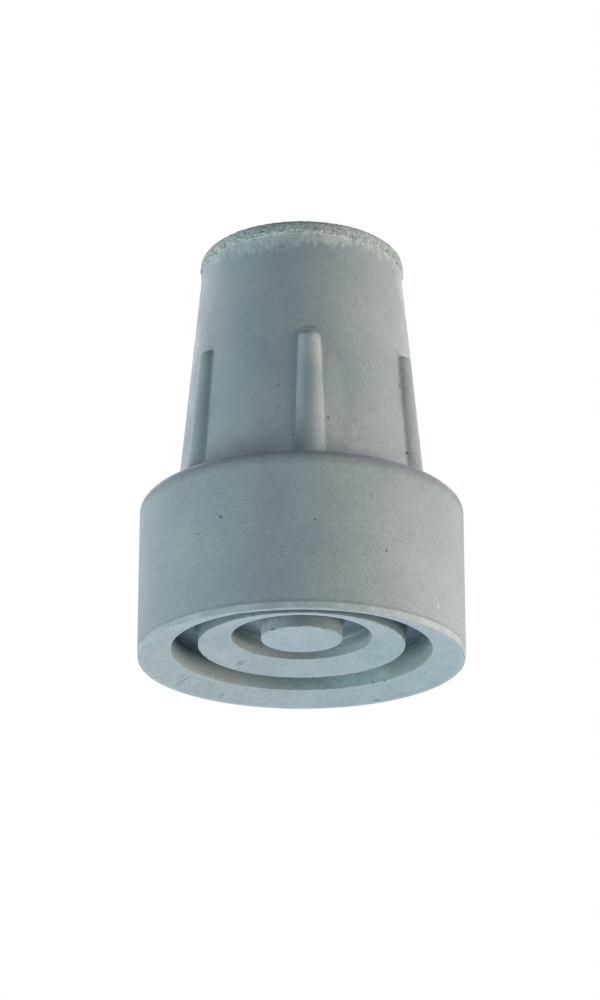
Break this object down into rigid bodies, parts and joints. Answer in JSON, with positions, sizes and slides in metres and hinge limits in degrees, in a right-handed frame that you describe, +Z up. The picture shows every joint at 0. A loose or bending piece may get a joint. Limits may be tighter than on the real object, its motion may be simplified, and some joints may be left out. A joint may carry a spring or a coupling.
{
  "type": "rubber cane tip",
  "caption": "Moulded rubber tip for a walking stick: a ribbed, tapered barrel with a blind socket, on a broad round base with a hollowed, grooved tread.",
  "frame": {"origin": "on the axis, at the floor under the tread", "axes": "+Z up along the axis, out of the socket's mouth; one rib of the barrel points along -Y"},
  "size_m": [0.045, 0.045, 0.06],
  "materials": {
    "rubber": "matte moulded grey rubber, ground at the mouth"
  },
  "bodies": {
    "root": {"rubber_tip": "rubber"}
  },
  "joints": []
}
